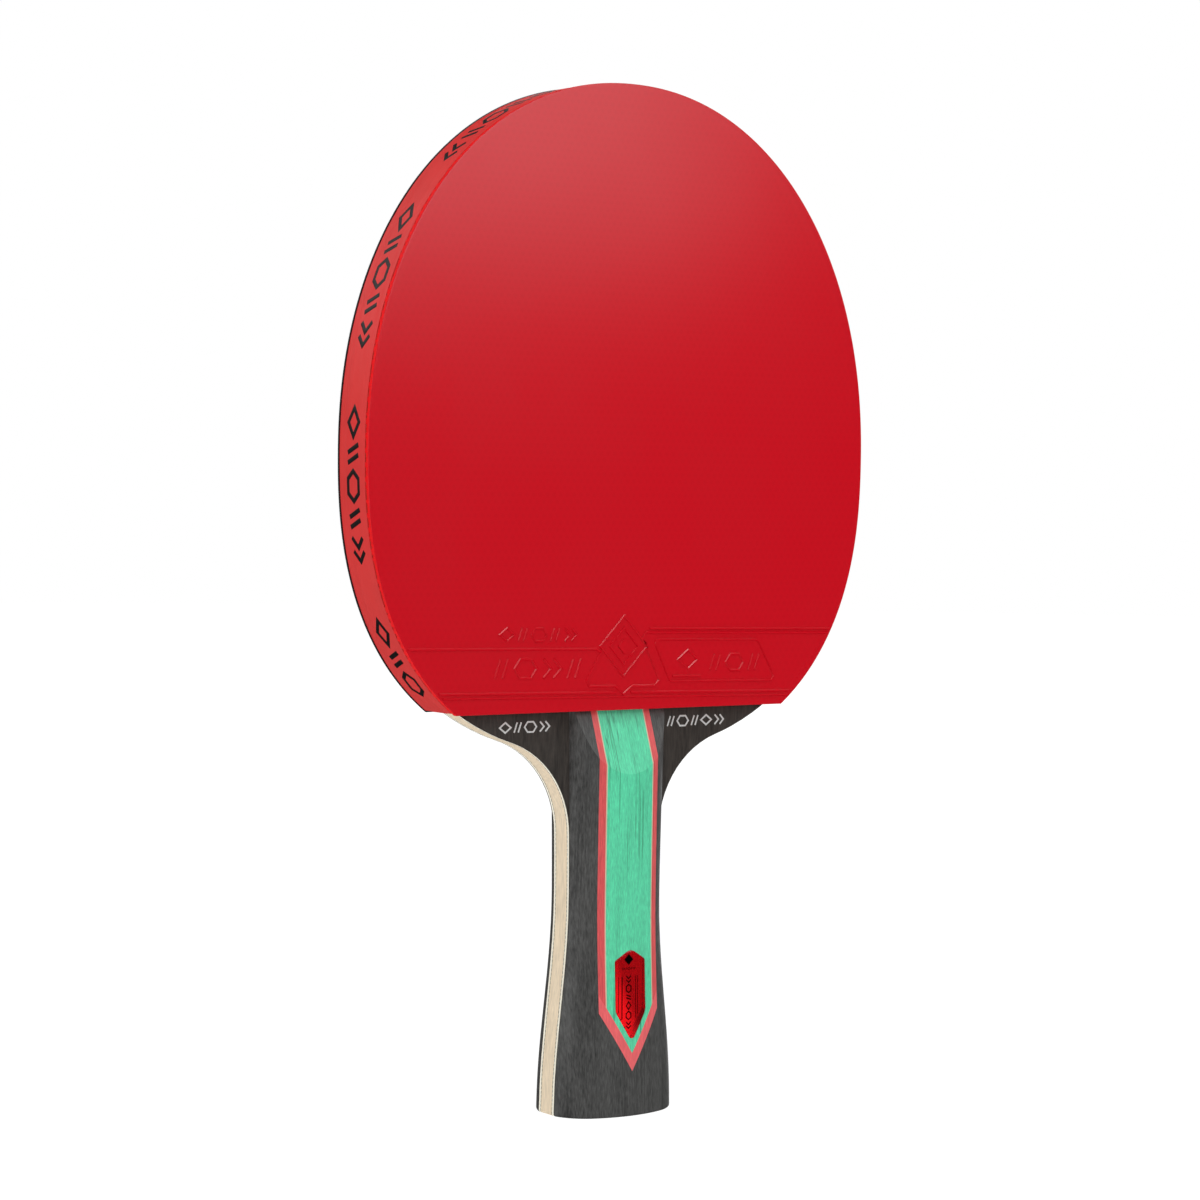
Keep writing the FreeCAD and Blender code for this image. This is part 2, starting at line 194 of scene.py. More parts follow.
def head_ring(inset, lift=None, lower_steps=44, upper_steps=60, edge_steps=26):
    """The head's outline, moved in by each inset: arrays of x and z, one row for each.

    The bottom edge moves up by the inset, or by the lift where one is given.

    Above the widest line (|x|/a)^2.1 + ((z-w)/h)^2.1 = 1, below it (|x|/a)^2.4 + ((w-z)/r)^2.4 = 1
    with r the lower reach, and a straight edge closes it.  A row runs from the right corner up,
    over the tip, down, and along the bottom.
    """
    inset = np.atleast_1d(np.asarray(inset, float))[:, None]
    lift = inset if lift is None else np.atleast_1d(np.asarray(lift, float))[:, None]
    half = HEAD["half"] - inset
    reach = lower_reach(half, HEAD["edge"] - inset)
    last = np.arcsin(((HEAD["widest"] - HEAD["bottom"] - lift) / reach) ** (LOWER_ROUNDNESS / 2))
    turn = last * np.linspace(1, 0, lower_steps)
    x_low = half * np.cos(turn) ** (2 / LOWER_ROUNDNESS)
    z_low = HEAD["widest"] - reach * np.sin(turn) ** (2 / LOWER_ROUNDNESS)
    turn = np.linspace(0, math.pi / 2, upper_steps)
    x_up = half * np.cos(turn) ** (2 / UPPER_ROUNDNESS)
    rise = HEAD["tip"] - HEAD["widest"] - inset
    z_up = HEAD["widest"] + rise * np.sin(turn) ** (2 / UPPER_ROUNDNESS)
    x_up[:, -1] = 0.0
    x = np.hstack([x_low[:, :-1], x_up])
    z = np.hstack([z_low[:, :-1], z_up])
    share = np.linspace(-1, 1, edge_steps)[1:-1]
    x_edge = x[:, :1] * share
    z_edge = np.repeat(z[:, :1], len(share), 1)
    return np.hstack([x, -x[:, -2::-1], x_edge]), np.hstack([z, z[:, -2::-1], z_edge])


def half_width_at(z):
    """Half width of the head at a height below its widest line, from the outline's formula."""
    share = (HEAD["widest"] - z) / lower_reach(HEAD["half"], HEAD["edge"])
    return HEAD["half"] * (1 - share ** LOWER_ROUNDNESS) ** (1 / LOWER_ROUNDNESS)


def upright(x, y, z):
    """Points from x and z and a thickness y that may be one number for each row."""
    x, y, z = np.broadcast_arrays(x, y, z)
    return np.stack([x, y, z], -1)


def shrunk(x, z, shares):
    """Copies of an outline drawn together towards the head's widest line, by shares."""
    shares = np.asarray(shares)[:, None]
    return x * shares, HEAD["widest"] + (z - HEAD["widest"]) * shares


def rounded_outline(corners, radii, steps=9):
    """Closed outline whose corners are arcs, with its outward normals.

    Each corner's arc is centred radius / sin(half its angle) along the bisector, and its normal
    turns evenly from one side's to the other's.
    """
    corners, radii = np.asarray(corners, float), np.asarray(radii, float)
    to_last, to_next = (np.roll(corners, shift, 0) - corners for shift in (1, -1))
    to_last /= np.linalg.norm(to_last, axis=1, keepdims=True)
    to_next /= np.linalg.norm(to_next, axis=1, keepdims=True)
    bisector = to_last + to_next
    bisector /= np.linalg.norm(bisector, axis=1, keepdims=True)
    sine = np.sqrt((1 - np.einsum("ij,ij->i", to_last, to_next)) / 2)
    centres = corners + bisector * (radii / sine)[:, None]
    turn_side = np.sign(to_next[:, 0] * to_last[:, 1] - to_next[:, 1] * to_last[:, 0])[:, None]
    start = np.stack([-to_last[:, 1], to_last[:, 0]], -1) * turn_side
    end = np.stack([to_next[:, 1], -to_next[:, 0]], -1) * turn_side
    span = np.arccos(np.clip(np.einsum("ij,ij->i", start, end), -1, 1))[:, None]
    share = np.linspace(0, 1, steps)[None, :]
    weights = np.sin(span * (1 - share)) / np.sin(span), np.sin(span * share) / np.sin(span)
    normals = start[:, None] * weights[0][..., None] + end[:, None] * weights[1][..., None]
    points = centres[:, None] + normals * radii[:, None, None]
    return points.reshape(-1, 2), normals.reshape(-1, 2)


# ---- raised marks ----

def ribbon(path, width, top_width, height, sink, place, looped=False):
    """A raised line: a trapezium carried along a path with mitred corners.

    At a corner the trapezium is turned to the mean of the two runs' normals and lengthened by
    one over one plus the cosine between them.
    """
    path = np.asarray(path, float)
    runs = np.diff(path, axis=0, append=path[:1] if looped else path[-1:] * 2 - path[-2:-1])
    normals = np.stack([-runs[:, 1], runs[:, 0]], -1)
    normals /= np.linalg.norm(normals, axis=1, keepdims=True)
    before = np.roll(normals, 1, 0)
    if not looped:
        before[0] = normals[0]
    mitre = (normals + before) / (1 + np.einsum("ij,ij->i", normals, before))[:, None]
    across = np.array([-width, -top_width, top_width, width]) / 2
    rise = np.array([-sink, height, height, -sink])
    spots = path[:, None] + mitre[:, None] * across[None, :, None]
    rings = place(spots[..., 0], spots[..., 1], np.broadcast_to(rise, spots.shape[:2]))
    return carried(rings[None], looped)


def tiles(corners, height, sink, chamfer, place):
    """Raised four-sided marks with slanted sides, from corners in an array of (marks, 4, 2).

    A mark is ruled from its first side to its third; its top is drawn towards its middle by the
    chamfer.
    """
    away = corners.mean(1, keepdims=True) - corners
    top = corners + away * (chamfer / np.linalg.norm(away, axis=2, keepdims=True))
    first, third = [0, 1], [3, 2]
    spots = np.stack([corners[:, first], top[:, first], top[:, third], corners[:, third]], 2)
    rise = np.broadcast_to(np.array([-sink, height, height, -sink]), spots.shape[:3])
    return carried(place(spots[..., 0], spots[..., 1], rise))


def lozenge(middle_u, middle_v, half_u, half_v):
    """Corners of one lozenge, as (1, 4, 2)."""
    ways = np.array([[-1, 0], [0, -1], [1, 0], [0, 1]])
    return (np.array([middle_u, middle_v]) + ways * [half_u, half_v])[None]


def dense(path, parts, looped=False):
    """A path with each of its runs divided evenly into parts."""
    path = np.asarray(path, float)
    starts = path if looped else path[:-1]
    ends = np.roll(path, -1, 0) if looped else path[1:]
    share = np.arange(parts) / parts
    points = (starts[:, None] + (ends - starts)[:, None] * share[None, :, None]).reshape(-1, 2)
    return points if looped else np.vstack([points, path[-1:]])


# Each figure's width, and its lines with whether they are closed, all for a row one unit tall.
MARKS = {
    "lozenge": (1.10, [([(0, 0.5), (0.55, 0), (1.10, 0.5), (0.55, 1)], True)]),
    "strokes": (0.80, [([(0.05, 0), (0.35, 1)], False), ([(0.45, 0), (0.75, 1)], False)]),
    "hexagon": (1.17, [([(0, 0.5), (0.3, 0), (0.87, 0), (1.17, 0.5), (0.87, 1), (0.3, 1)], True)]),
    "chevrons": (1.05, [([(0.08, 0), (0.48, 0.5), (0.08, 1)], False),
                        ([(0.62, 0), (1.02, 0.5), (0.62, 1)], False)]),
}
MARK_GAP = 0.27
LONG_ROW = ("lozenge", "strokes", "hexagon", "strokes", "chevrons")


def mark_row(names, start_u, low_v, tall, stroke, height, sink, place, parts=1, crest=0.8):
    """A row of plain line figures, each scaled to the height of the row.

    A stroke's flat top is as wide as its foot times the crest.
    """
    shells = []
    for name in names:
        wide, lines = MARKS[name]
        for line, looped in lines:
            inner = np.array(line) * [tall, tall - stroke] + [start_u, low_v + stroke / 2]
            path = dense(inner, parts, looped)
            shells.append(ribbon(path, stroke, stroke * crest, height, sink, place, looped))
        start_u += (wide + MARK_GAP) * tall
    return shells


# ---- shader building ----

def join(tree, value, socket):
    """Joins one socket to another, or sets it to a value; a colour may leave out its alpha."""
    if isinstance(value, bpy.types.NodeSocket):
        tree.links.new(value, socket)
    elif socket.type == "RGBA" and len(value) == 3:
        socket.default_value = (*value, 1.0)
    else:
        socket.default_value = value


def wire(tree, sockets, **values):
    """Joins or sets sockets by name, with an underscore for each space."""
    for key, value in values.items():
        join(tree, value, sockets[key.replace("_", " ")])


def node(tree, kind, inputs=None, **settings):
    """Adds a node with its settings, and joins or sets its inputs."""
    made = tree.nodes.new("ShaderNode" + kind)
    for name, value in settings.items():
        setattr(made, name, value)
    for key, value in (inputs or {}).items():
        join(tree, value, made.inputs[key])
    return made


def maths(tree, operation, first, second=0.0):
    return node(tree, "Math", {0: first, 1: second}, operation=operation).outputs[0]


def plus(tree, first, second):
    return maths(tree, "ADD", first, second)


def times(tree, first, second):
    return maths(tree, "MULTIPLY", first, second)


def mixed(tree, factor, first, second):
    """Mix of two colours, which are the node's inputs 6 and 7."""
    return node(tree, "Mix", {"Factor": factor, 6: first, 7: second}, data_type="RGBA").outputs[2]


def ramped(tree, value, low, high, start=0.0, end=1.0):
    """A value eased from start to end as it goes from low to high."""
    inputs = {"Value": value, "From Min": low, "From Max": high, "To Min": start, "To Max": end}
    return node(tree, "MapRange", inputs, interpolation_type="SMOOTHSTEP").outputs[0]


def dot(tree, place, direction):
    """How far a place lies along a direction."""
    inputs = {0: place, 1: direction}
    return node(tree, "VectorMath", inputs, operation="DOT_PRODUCT").outputs["Value"]


def bump(tree, height, strength, distance):
    """Normals from a height; strength is plain, and distance is in metres."""
    return node(tree, "Bump", {"Height": height, "Strength": strength, "Distance": distance}).outputs[0]


def own_millimetres(tree, stretch=(1, 1, 1), start=(0, 0, 0)):
    """The piece's own coordinates in millimetres, each divided by its stretch, counted from start."""
    place = node(tree, "TexCoord").outputs["Object"]
    inputs = {"Vector": place, "Location": [-s / MM for s in start],
              "Scale": [1 / MM / s for s in stretch]}
    return node(tree, "Mapping", inputs).outputs[0]


def noise(tree, scale, detail=2.0, place=None, roughness=0.5):
    """Noise over the piece's own millimetres, unless another place is given."""
    inputs = {"Vector": own_millimetres(tree) if place is None else place, "Scale": scale,
              "Detail": detail, "Roughness": roughness}
    return node(tree, "TexNoise", inputs).outputs[0]


def new_group(name, inputs, outputs):
    """A node group with named sockets: its tree, what it is given and what it gives."""
    tree = bpy.data.node_groups.new(name, "ShaderNodeTree")
    for label, value in inputs.items():
        kind = "NodeSocketFloat" if isinstance(value, float) else "NodeSocketColor"
        tree.interface.new_socket(name=label, in_out="INPUT", socket_type=kind).default_value = value
    for label, kind in outputs.items():
        tree.interface.new_socket(name=label, in_out="OUTPUT", socket_type="NodeSocket" + kind)
    return tree, tree.nodes.new("NodeGroupInput").outputs, tree.nodes.new("NodeGroupOutput").inputs


def wood_grain_group():
    """Long fine fibres up the paddle: a colour between two tones, a height, and a crack mask.

    Fibres are noise drawn out nine times along Z and by Depth along Y.  Cracks are where such
    noise, drawn out 200 times, crosses its middle value, and only inside patches.
    """
    tree, given, out = new_group("wood_grain", {
        "Light": (1, 1, 1, 1), "Dark": (0, 0, 0, 1), "Fibres": 2.0, "Streaks": 0.35, "Contrast": 1.0,
        "Cracks": 0.0, "Depth": 4.0,
    }, {"Colour": "Color", "Height": "Float", "Crack": "Float"})

    def drawn_out(along):
        flatter = node(tree, "CombineXYZ", {0: 1.0, 1: maths(tree, "DIVIDE", 1.0, given["Depth"]),
                                            2: 1.0 / along}).outputs[0]
        inputs = {0: own_millimetres(tree), 1: flatter}
        return node(tree, "VectorMath", inputs, operation="MULTIPLY").outputs[0]

    place = drawn_out(9)
    fine = noise(tree, given["Fibres"], 5.0, place, 0.62)
    broad = noise(tree, given["Streaks"], 2.0, place)
    both = plus(tree, times(tree, fine, 0.75), times(tree, broad, 0.25))
    spread = times(tree, maths(tree, "SUBTRACT", both, 0.5), times(tree, given["Contrast"], 3.2))
    tone = node(tree, "Clamp", {"Value": plus(tree, spread, 0.5)}).outputs[0]
    wander = noise(tree, 1.6, 1.0, drawn_out(200))
    patch = ramped(tree, noise(tree, 0.3, 2.0, drawn_out(9)), 0.5, 0.6)
    off = maths(tree, "ABSOLUTE", maths(tree, "SUBTRACT", wander, 0.5))
    narrow = ramped(tree, off, 0.006, 0.045, 1.0, 0.0)
    crack = times(tree, times(tree, narrow, patch), given["Cracks"])
    wire(tree, out, Colour=mixed(tree, tone, given["Dark"], given["Light"]),
         Height=maths(tree, "SUBTRACT", fine, crack), Crack=crack)


def handling_group():
    """Soft uneven patches, as from hands and storage: a mask from 0 to 1."""
    tree, given, out = new_group("handling", {"Scale": 0.06, "Low": 0.4, "High": 0.65},
                                 {"Mask": "Float"})
    patches = noise(tree, given["Scale"], 4.0, roughness=0.55)
    wire(tree, out, Mask=ramped(tree, patches, given["Low"], given["High"]))


def pip_lattice_group():
    """The pips felt through the sheet: a height that peaks on a triangular lattice.

    It rises with the sum of three cosines whose directions are 60 degrees apart in the X-Z plane,
    so its peaks are one pitch apart.
    """
    tree, given, out = new_group("pip_lattice", {"Pitch": 2.0}, {"Height": "Float"})
    place = own_millimetres(tree)
    wave = maths(tree, "DIVIDE", 4 * math.pi / math.sqrt(3), given["Pitch"])
    total = 0.0
    for turn in (math.pi / 2, math.pi / 6, -math.pi / 6):
        along = dot(tree, place, (math.cos(turn), 0.0, math.sin(turn)))
        total = plus(tree, maths(tree, "COSINE", times(tree, along, wave)), total)
    wire(tree, out, Height=ramped(tree, total, -1.5, 3.0))


def foam_group():
    """Cut cells of foam: a height and a mask that is 1 in a cell's hollow."""
    tree, given, out = new_group("foam_cells", {"Cell Size": 0.35},
                                 {"Height": "Float", "Hollow": "Float"})
    inputs = {"Vector": own_millimetres(tree), "Scale": maths(tree, "DIVIDE", 1.0, given["Cell Size"])}
    cells = node(tree, "TexVoronoi", inputs).outputs["Distance"]
    wire(tree, out, Height=ramped(tree, cells, 0.1, 0.6),
         Hollow=ramped(tree, cells, 0.15, 0.45, 1.0, 0.0))


GROUP_MAKERS = {
    "wood_grain": wood_grain_group,
    "handling": handling_group,
    "pip_lattice": pip_lattice_group,
    "foam_cells": foam_group,
}


def group(tree, name, **inputs):
    """Places a shared group, made the first time it is asked for, and returns its outputs."""
    if name not in bpy.data.node_groups:
        GROUP_MAKERS[name]()
    made = node(tree, "Group", node_tree=bpy.data.node_groups[name])
    wire(tree, made.inputs, **inputs)
    return made.outputs


def finish_of(name, **sockets):
    """A material with one Principled shader, its fixed values set on the shader's own sockets."""
    material = bpy.data.materials.new(name)
    material.use_nodes = True
    tree = material.node_tree
    shader = tree.nodes["Principled BSDF"].inputs
    wire(tree, shader, **sockets)
    return material, tree, shader


def shade(colour, factor):
    """A colour made darker or lighter by a factor."""
    return tuple(min(c * factor, 1.0) for c in colour)


# ---- finishes ----

def wood_finish(name, light, dark, fibres, contrast, roughness, cracks, relief, depth):
    """Wood with long fibres, thin cracks and hand-worn patches in its gloss; relief is in mm."""
    material, tree, shader = finish_of(name, Specular_IOR_Level=0.4)
    grain = group(tree, "wood_grain", Light=light, Dark=dark, Fibres=fibres, Contrast=contrast,
                  Cracks=cracks, Depth=depth)
    worn = group(tree, "handling")["Mask"]
    wire(tree, shader, Base_Color=mixed(tree, grain["Crack"], grain["Colour"], shade(dark, 0.25)),
         Roughness=ramped(tree, worn, 0.0, 1.0, roughness + 0.07, roughness - 0.07),
         Normal=bump(tree, grain["Height"], 0.5, relief * MM))
    return material


def carbon_finish(name, colour):
    """The cut edge of carbon cloth: dark, with a paler dash every 1.1 mm where threads are cut."""
    material, tree, shader = finish_of(name, Roughness=0.5, Specular_IOR_Level=0.5)
    up = node(tree, "SeparateXYZ", {0: own_millimetres(tree)}).outputs["Z"]
    wave = maths(tree, "SINE", times(tree, up, 2 * math.pi / 1.1))
    dash = ramped(tree, plus(tree, wave, times(tree, noise(tree, 0.8), 0.8)), 0.3, 0.8)
    wire(tree, shader, Base_Color=mixed(tree, dash, colour, (0.42, 0.34, 0.25)))
    return material


def rubber_finish(name, colour, roughness, lattice):
    """Playing face: smooth sheet with the pips faintly felt through it."""
    material, tree, shader = finish_of(name, Specular_IOR_Level=0.45)
    pips = group(tree, "pip_lattice")["Height"]
    worn = group(tree, "handling", Scale=0.035)["Mask"]
    toned = mixed(tree, times(tree, pips, lattice), colour, shade(colour, 0.6))
    height = plus(tree, pips, times(tree, noise(tree, 6.0), 0.25))
    wire(tree, shader, Base_Color=mixed(tree, times(tree, worn, 0.05), toned, shade(colour, 0.8)),
         Roughness=ramped(tree, worn, 0.0, 1.0, roughness - 0.006, roughness + 0.006),
         Normal=bump(tree, height, 0.25, 0.01 * MM))
    return material


def cut_rubber_finish(name, colour):
    """Sides left by the knife: matt, with faint cross lines."""
    material, tree, shader = finish_of(name, Specular_IOR_Level=0.12)
    lines = noise(tree, 2.5, 3.0, own_millimetres(tree, (1, 8, 1)))
    wire(tree, shader,
         Base_Color=mixed(tree, ramped(tree, lines, 0.3, 0.7), shade(colour, 0.85), colour),
         Roughness=ramped(tree, lines, 0.3, 0.7, 0.5, 0.65), Normal=bump(tree, lines, 0.3, 0.03 * MM))
    return material


def foam_finish(name, colour):
    """Cut foam, with painted shade that darkens its cell hollows."""
    material, tree, shader = finish_of(name, Specular_IOR_Level=0.3)
    cells = group(tree, "foam_cells")
    # painted shade: the colour darkens towards each cell's hollow
    wire(tree, shader,
         Base_Color=mixed(tree, times(tree, cells["Hollow"], 0.45), colour, shade(colour, 0.45)),
         Roughness=ramped(tree, cells["Hollow"], 0.0, 1.0, 0.7, 0.9),
         Normal=bump(tree, cells["Height"], 0.5, 0.08 * MM))
    return material


def tape_finish(name, colour):
    """Satin tape over uneven layers: soft ripples across and small shifts in tone along it."""
    material, tree, shader = finish_of(name, Specular_IOR_Level=0.3)
    place = node(tree, "UVMap", uv_map="along_tape").outputs[0]
    along = node(tree, "Mapping", {"Vector": place, "Scale": (90.0, 400.0, 1.0)}).outputs[0]
    ripple = noise(tree, 1.0, 3.0, along)
    worn = times(tree, group(tree, "handling", Scale=0.09)["Mask"], 0.25)
    wire(tree, shader, Base_Color=mixed(tree, worn, colour, shade(colour, 0.75)),
         Roughness=ramped(tree, ripple, 0.2, 0.8, 0.42, 0.56), Normal=bump(tree, ripple, 0.4, 0.06 * MM))
    return material


def ink_finish(name, colour, roughness):
    """Printed ink, a little thin in places."""
    material, tree, shader = finish_of(name, Specular_IOR_Level=0.25)
    speckle = noise(tree, 4.0, 3.0)
    wire(tree, shader,
         Base_Color=mixed(tree, ramped(tree, speckle, 0.45, 0.75), colour, shade(colour, 0.8)),
         Roughness=ramped(tree, speckle, 0.3, 0.7, roughness - 0.05, roughness + 0.08))
    return material


def lens_finish(name, colour):
    """Clear coloured acrylic, polished, with the faintest swirl marks."""
    material, tree, shader = finish_of(name, Transmission_Weight=1.0, IOR=1.49, Specular_IOR_Level=0.5)
    swirl = noise(tree, 1.2)
    wire(tree, shader, Base_Color=mixed(tree, swirl, shade(colour, 0.92), colour),
         Roughness=ramped(tree, swirl, 0.3, 0.7, 0.02, 0.06))
    return material


def foil_finish(name, colour, dark):
    """Bright foil with a painted reflection: its brushed colour runs from light at the lower left to
    dark at the upper right.

    A faint glow stands for the light that reaches it through the lens.
    """
    material, tree, shader = finish_of(name, Metallic=0.9, Emission_Strength=0.4)
    middle = sum(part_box("badge_foil"), Vector()) / 2
    slope = dot(tree, own_millimetres(tree, start=(middle.x, 0.0, middle.z)), (0.13, 0.0, 0.05))
    brushed = noise(tree, 8.0, 2.0, own_millimetres(tree, (1, 1, 20)))
    # painted reflection: the foil is lighter at the lower left and darker at the upper right, as if the
    # studio were mirrored in it
    painted_reflection = ramped(tree, plus(tree, slope, times(tree, brushed, 0.15)), -0.40, 0.16)
    toned = mixed(tree, painted_reflection, colour, dark)
    wire(tree, shader, Base_Color=toned, Emission_Color=toned,
         Roughness=ramped(tree, brushed, 0.3, 0.7, 0.18, 0.32))
    return material


def dress(start, material):
    """Gives the frame pieces whose names begin so a finish, in place of whatever they came with."""
    for name, piece in FRAME["nodes"].items():
        if name.startswith(start):
            piece.data.materials.clear()
            piece.data.materials.append(material)


def dress_in_wood(rows):
    """Wood finishes for frame pieces.

    A row holds the start of the pieces' names, the finish's name, its tone, how much lighter and
    darker the fibres are, their scale, their contrast, the roughness, how strong the cracks are,
    the relief in millimetres, and how far the fibres reach in depth.
    """
    for start, name, tone, (light, dark), *others in rows:
        dress(start, wood_finish(name, shade(tone, light), shade(tone, dark), *others))


# ---- what a user would change ----

def a_length(name, description, default):
    return FloatProperty(name=name, description=description, default=default, min=0.0,
                         subtype="DISTANCE", unit="LENGTH", precision=5)


def a_colour(name, description, default):
    return FloatVectorProperty(name=name, description=description, default=default, size=3, min=0.0,
                               max=1.0, subtype="COLOR")


def an_angle(name, description, degrees):
    return FloatProperty(name=name, description=description, default=math.radians(degrees),
                         subtype="ANGLE", unit="ROTATION")


def a_share(name, description, default):
    return FloatProperty(name=name, description=description, default=default, min=0.0, max=1.0,
                         subtype="FACTOR")


class PaddleBlade(bpy.types.PropertyGroup):
    core: a_colour("Core", "Light wood of the core", (0.832, 0.690, 0.500))
    ply: a_colour("Inner ply", "Pale wood on each side of the core", (0.98, 0.90, 0.76))
    carbon: a_colour("Carbon", "Cut edge of the carbon layers", (0.03, 0.03, 0.03))
    veneer: a_colour("Face veneer", "Black-stained outer veneer", (0.040, 0.033, 0.028))
    marks: a_colour("Marks", "Silver marks on the wings", (0.62, 0.63, 0.62))
    mark_height: a_length("Mark height", "How tall the marks on the wings are", 3.0 * MM)


class PaddleRubber(bpy.types.PropertyGroup):
    sheet: a_length("Sheet thickness", "Smooth sheet without its pips", 1.2 * MM)
    rounding: a_length("Edge rounding", "Softened rim of the playing face", 0.16 * MM)
    pip_radius: a_length("Pip radius", "Half a pip's width", 0.72 * MM)
    pip_pitch: a_length("Pip pitch", "Distance between neighbouring pips", 2.0 * MM)
    pip_zone: a_length("Pip zone", "How far in from the edge pips are made", 6.0 * MM)
    label_height: a_length("Label height", "How far the moulded label stands up", 0.26 * MM)
    label_width: a_length("Label line", "Width of a moulded line at its foot", 0.75 * MM)
    red: a_colour("Red", "Front playing face", (0.590, 0.0015, 0.0100))
    red_cut: a_colour("Red cut edge", "Sides of the red sheet", (0.86, 0.004, 0.007))
    black: a_colour("Black", "Back playing face", (0.012, 0.012, 0.013))
    sponge: a_colour("Sponge", "Foam under both sheets", (0.78, 0.16, 0.08))
    gloss: a_share("Roughness", "Roughness of the playing faces", 0.2)


class PaddleTape(bpy.types.PropertyGroup):
    skin: a_length("Inset", "How far the tape's face lies inside the rubber's edge", 0.05 * MM)
    sink: a_length("Sink", "How far the tape dips over the sponges", 0.10 * MM)
    print_height: a_length("Print height", "Height of the black marks", 6.2 * MM)
    print_pitch: a_length("Print pitch", "From one group of marks to the next", 52.05 * MM)
    print_start: a_length("Print start", "Where a group starts, from the right-hand end", 14.7 * MM)
    face: a_colour("Tape", "Printed satin face", (0.68, 0.032, 0.030))
    ink: a_colour("Ink", "Marks on the tape", (0.010, 0.010, 0.010))


class PaddleHandle(bpy.types.PropertyGroup):
    dark: a_colour("Dark wood", "Scales of the handle", (0.062, 0.062, 0.060))
    green: a_colour("Green wood", "Broad inlay", (0.098, 0.66, 0.375))
    red: a_colour("Red wood", "Straight strips", (0.70, 0.086, 0.090))
    point: a_colour("Point", "The two red strips of the point", (0.83, 0.125, 0.135))
    pale: a_colour("Pale wood", "Thin line between green and red", (0.68, 0.50, 0.36))


class PaddleBadge(bpy.types.PropertyGroup):
    rise: a_length("Rise", "How far the lens stands above the wood", 0.12 * MM)
    bevel: a_length("Bevel", "Polished bevel round the lens", 0.32 * MM)
    lens: a_colour("Lens", "Clear red acrylic", (0.86, 0.02, 0.03))
    foil: a_colour("Foil", "Bright end of the foil", (0.95, 0.90, 0.88))
    # the dark end of the foil's painted reflection: painted shade at its upper right
    foil_painted_shade: a_colour("Foil shade", "Dark end of the foil", (0.34, 0.20, 0.26))
    ink: a_colour("Ink", "Marks under the lens", (0.01, 0.01, 0.01))


class PaddleStage(bpy.types.PropertyGroup):
    floor: a_colour("Floor", "Pale studio floor", (0.14, 0.14, 0.14))
    place: FloatVectorProperty(name="Camera", description="Where the camera stands", size=3,
                               default=(-0.455405, -0.662918, 0.161598), subtype="TRANSLATION",
                               unit="LENGTH")
    azimuth: an_angle("Azimuth", "The camera's turn round the paddle", -34.32)
    elevation: an_angle("Elevation", "The camera's height as an angle", 2.30)
    roll: an_angle("Roll", "The camera's lean", 0.72)
    lens: FloatProperty(name="Focal length", description="Camera lens in millimetres",
                        default=95.437, min=1.0)
    background: a_share("Background", "Brightness of what light and gloss meet all round", 0.02)


GROUPS = {
    "paddle_blade": PaddleBlade,
    "paddle_rubber": PaddleRubber,
    "paddle_tape": PaddleTape,
    "paddle_handle": PaddleHandle,
    "paddle_badge": PaddleBadge,
    "paddle_stage": PaddleStage,
}


# ---- blade ----

class BuildBlade(bpy.types.Operator):
    """Finishes of the plies, and silver marks on the wings"""
    bl_idname = "paddle.blade"
    bl_label = "Blade"

    def execute(self, context):
        sizes = context.scene.paddle_blade
        dress_in_wood((
            ("core_ply", "core_wood", sizes.core, (1.1, 0.78), 2.2, 0.9, 0.6, 0.0, 0.06, 1.0),
            ("inner_ply", "pale_ply_wood", sizes.ply, (1.1, 0.85), 3.0, 0.7, 0.6, 0.0, 0.05, 1.0),
            ("face_veneer", "black_stained_veneer", sizes.veneer, (1.5, 0.55), 2.0, 1.0, 0.42, 0.0,
             0.03, 4.0),
        ))
        dress("carbon_ply", carbon_finish("carbon_cloth", sizes.carbon))
        ink = ink_finish("silver_ink", sizes.marks, 0.42)
        for side, tag in TAGS:
            add_piece(f"wing_marks_{tag}", self.marks(side, sizes.mark_height), [ink], "black_veneer")
        return {"FINISHED"}

    @staticmethod
    def marks(side, tall):
        """A row of line figures on each wing, as thin print on the veneer."""
        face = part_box("face_veneer_back")[1].y

        def place(u, v, rise):
            return upright(-side * u, side * (face + rise), v)

        low = HEAD["bottom"] - 5.2 * MM
        rows = ((-34.8, ("lozenge", "strokes", "hexagon", "chevrons")),
                (15.8, ("strokes", "hexagon", "strokes", "lozenge", "chevrons")))
        shells = []
        for start, names in rows:
            shells += mark_row(names, start * MM, low, tall, tall * 0.16, HAIR, HAIR, place)
        return shells


# ---- rubbers ----

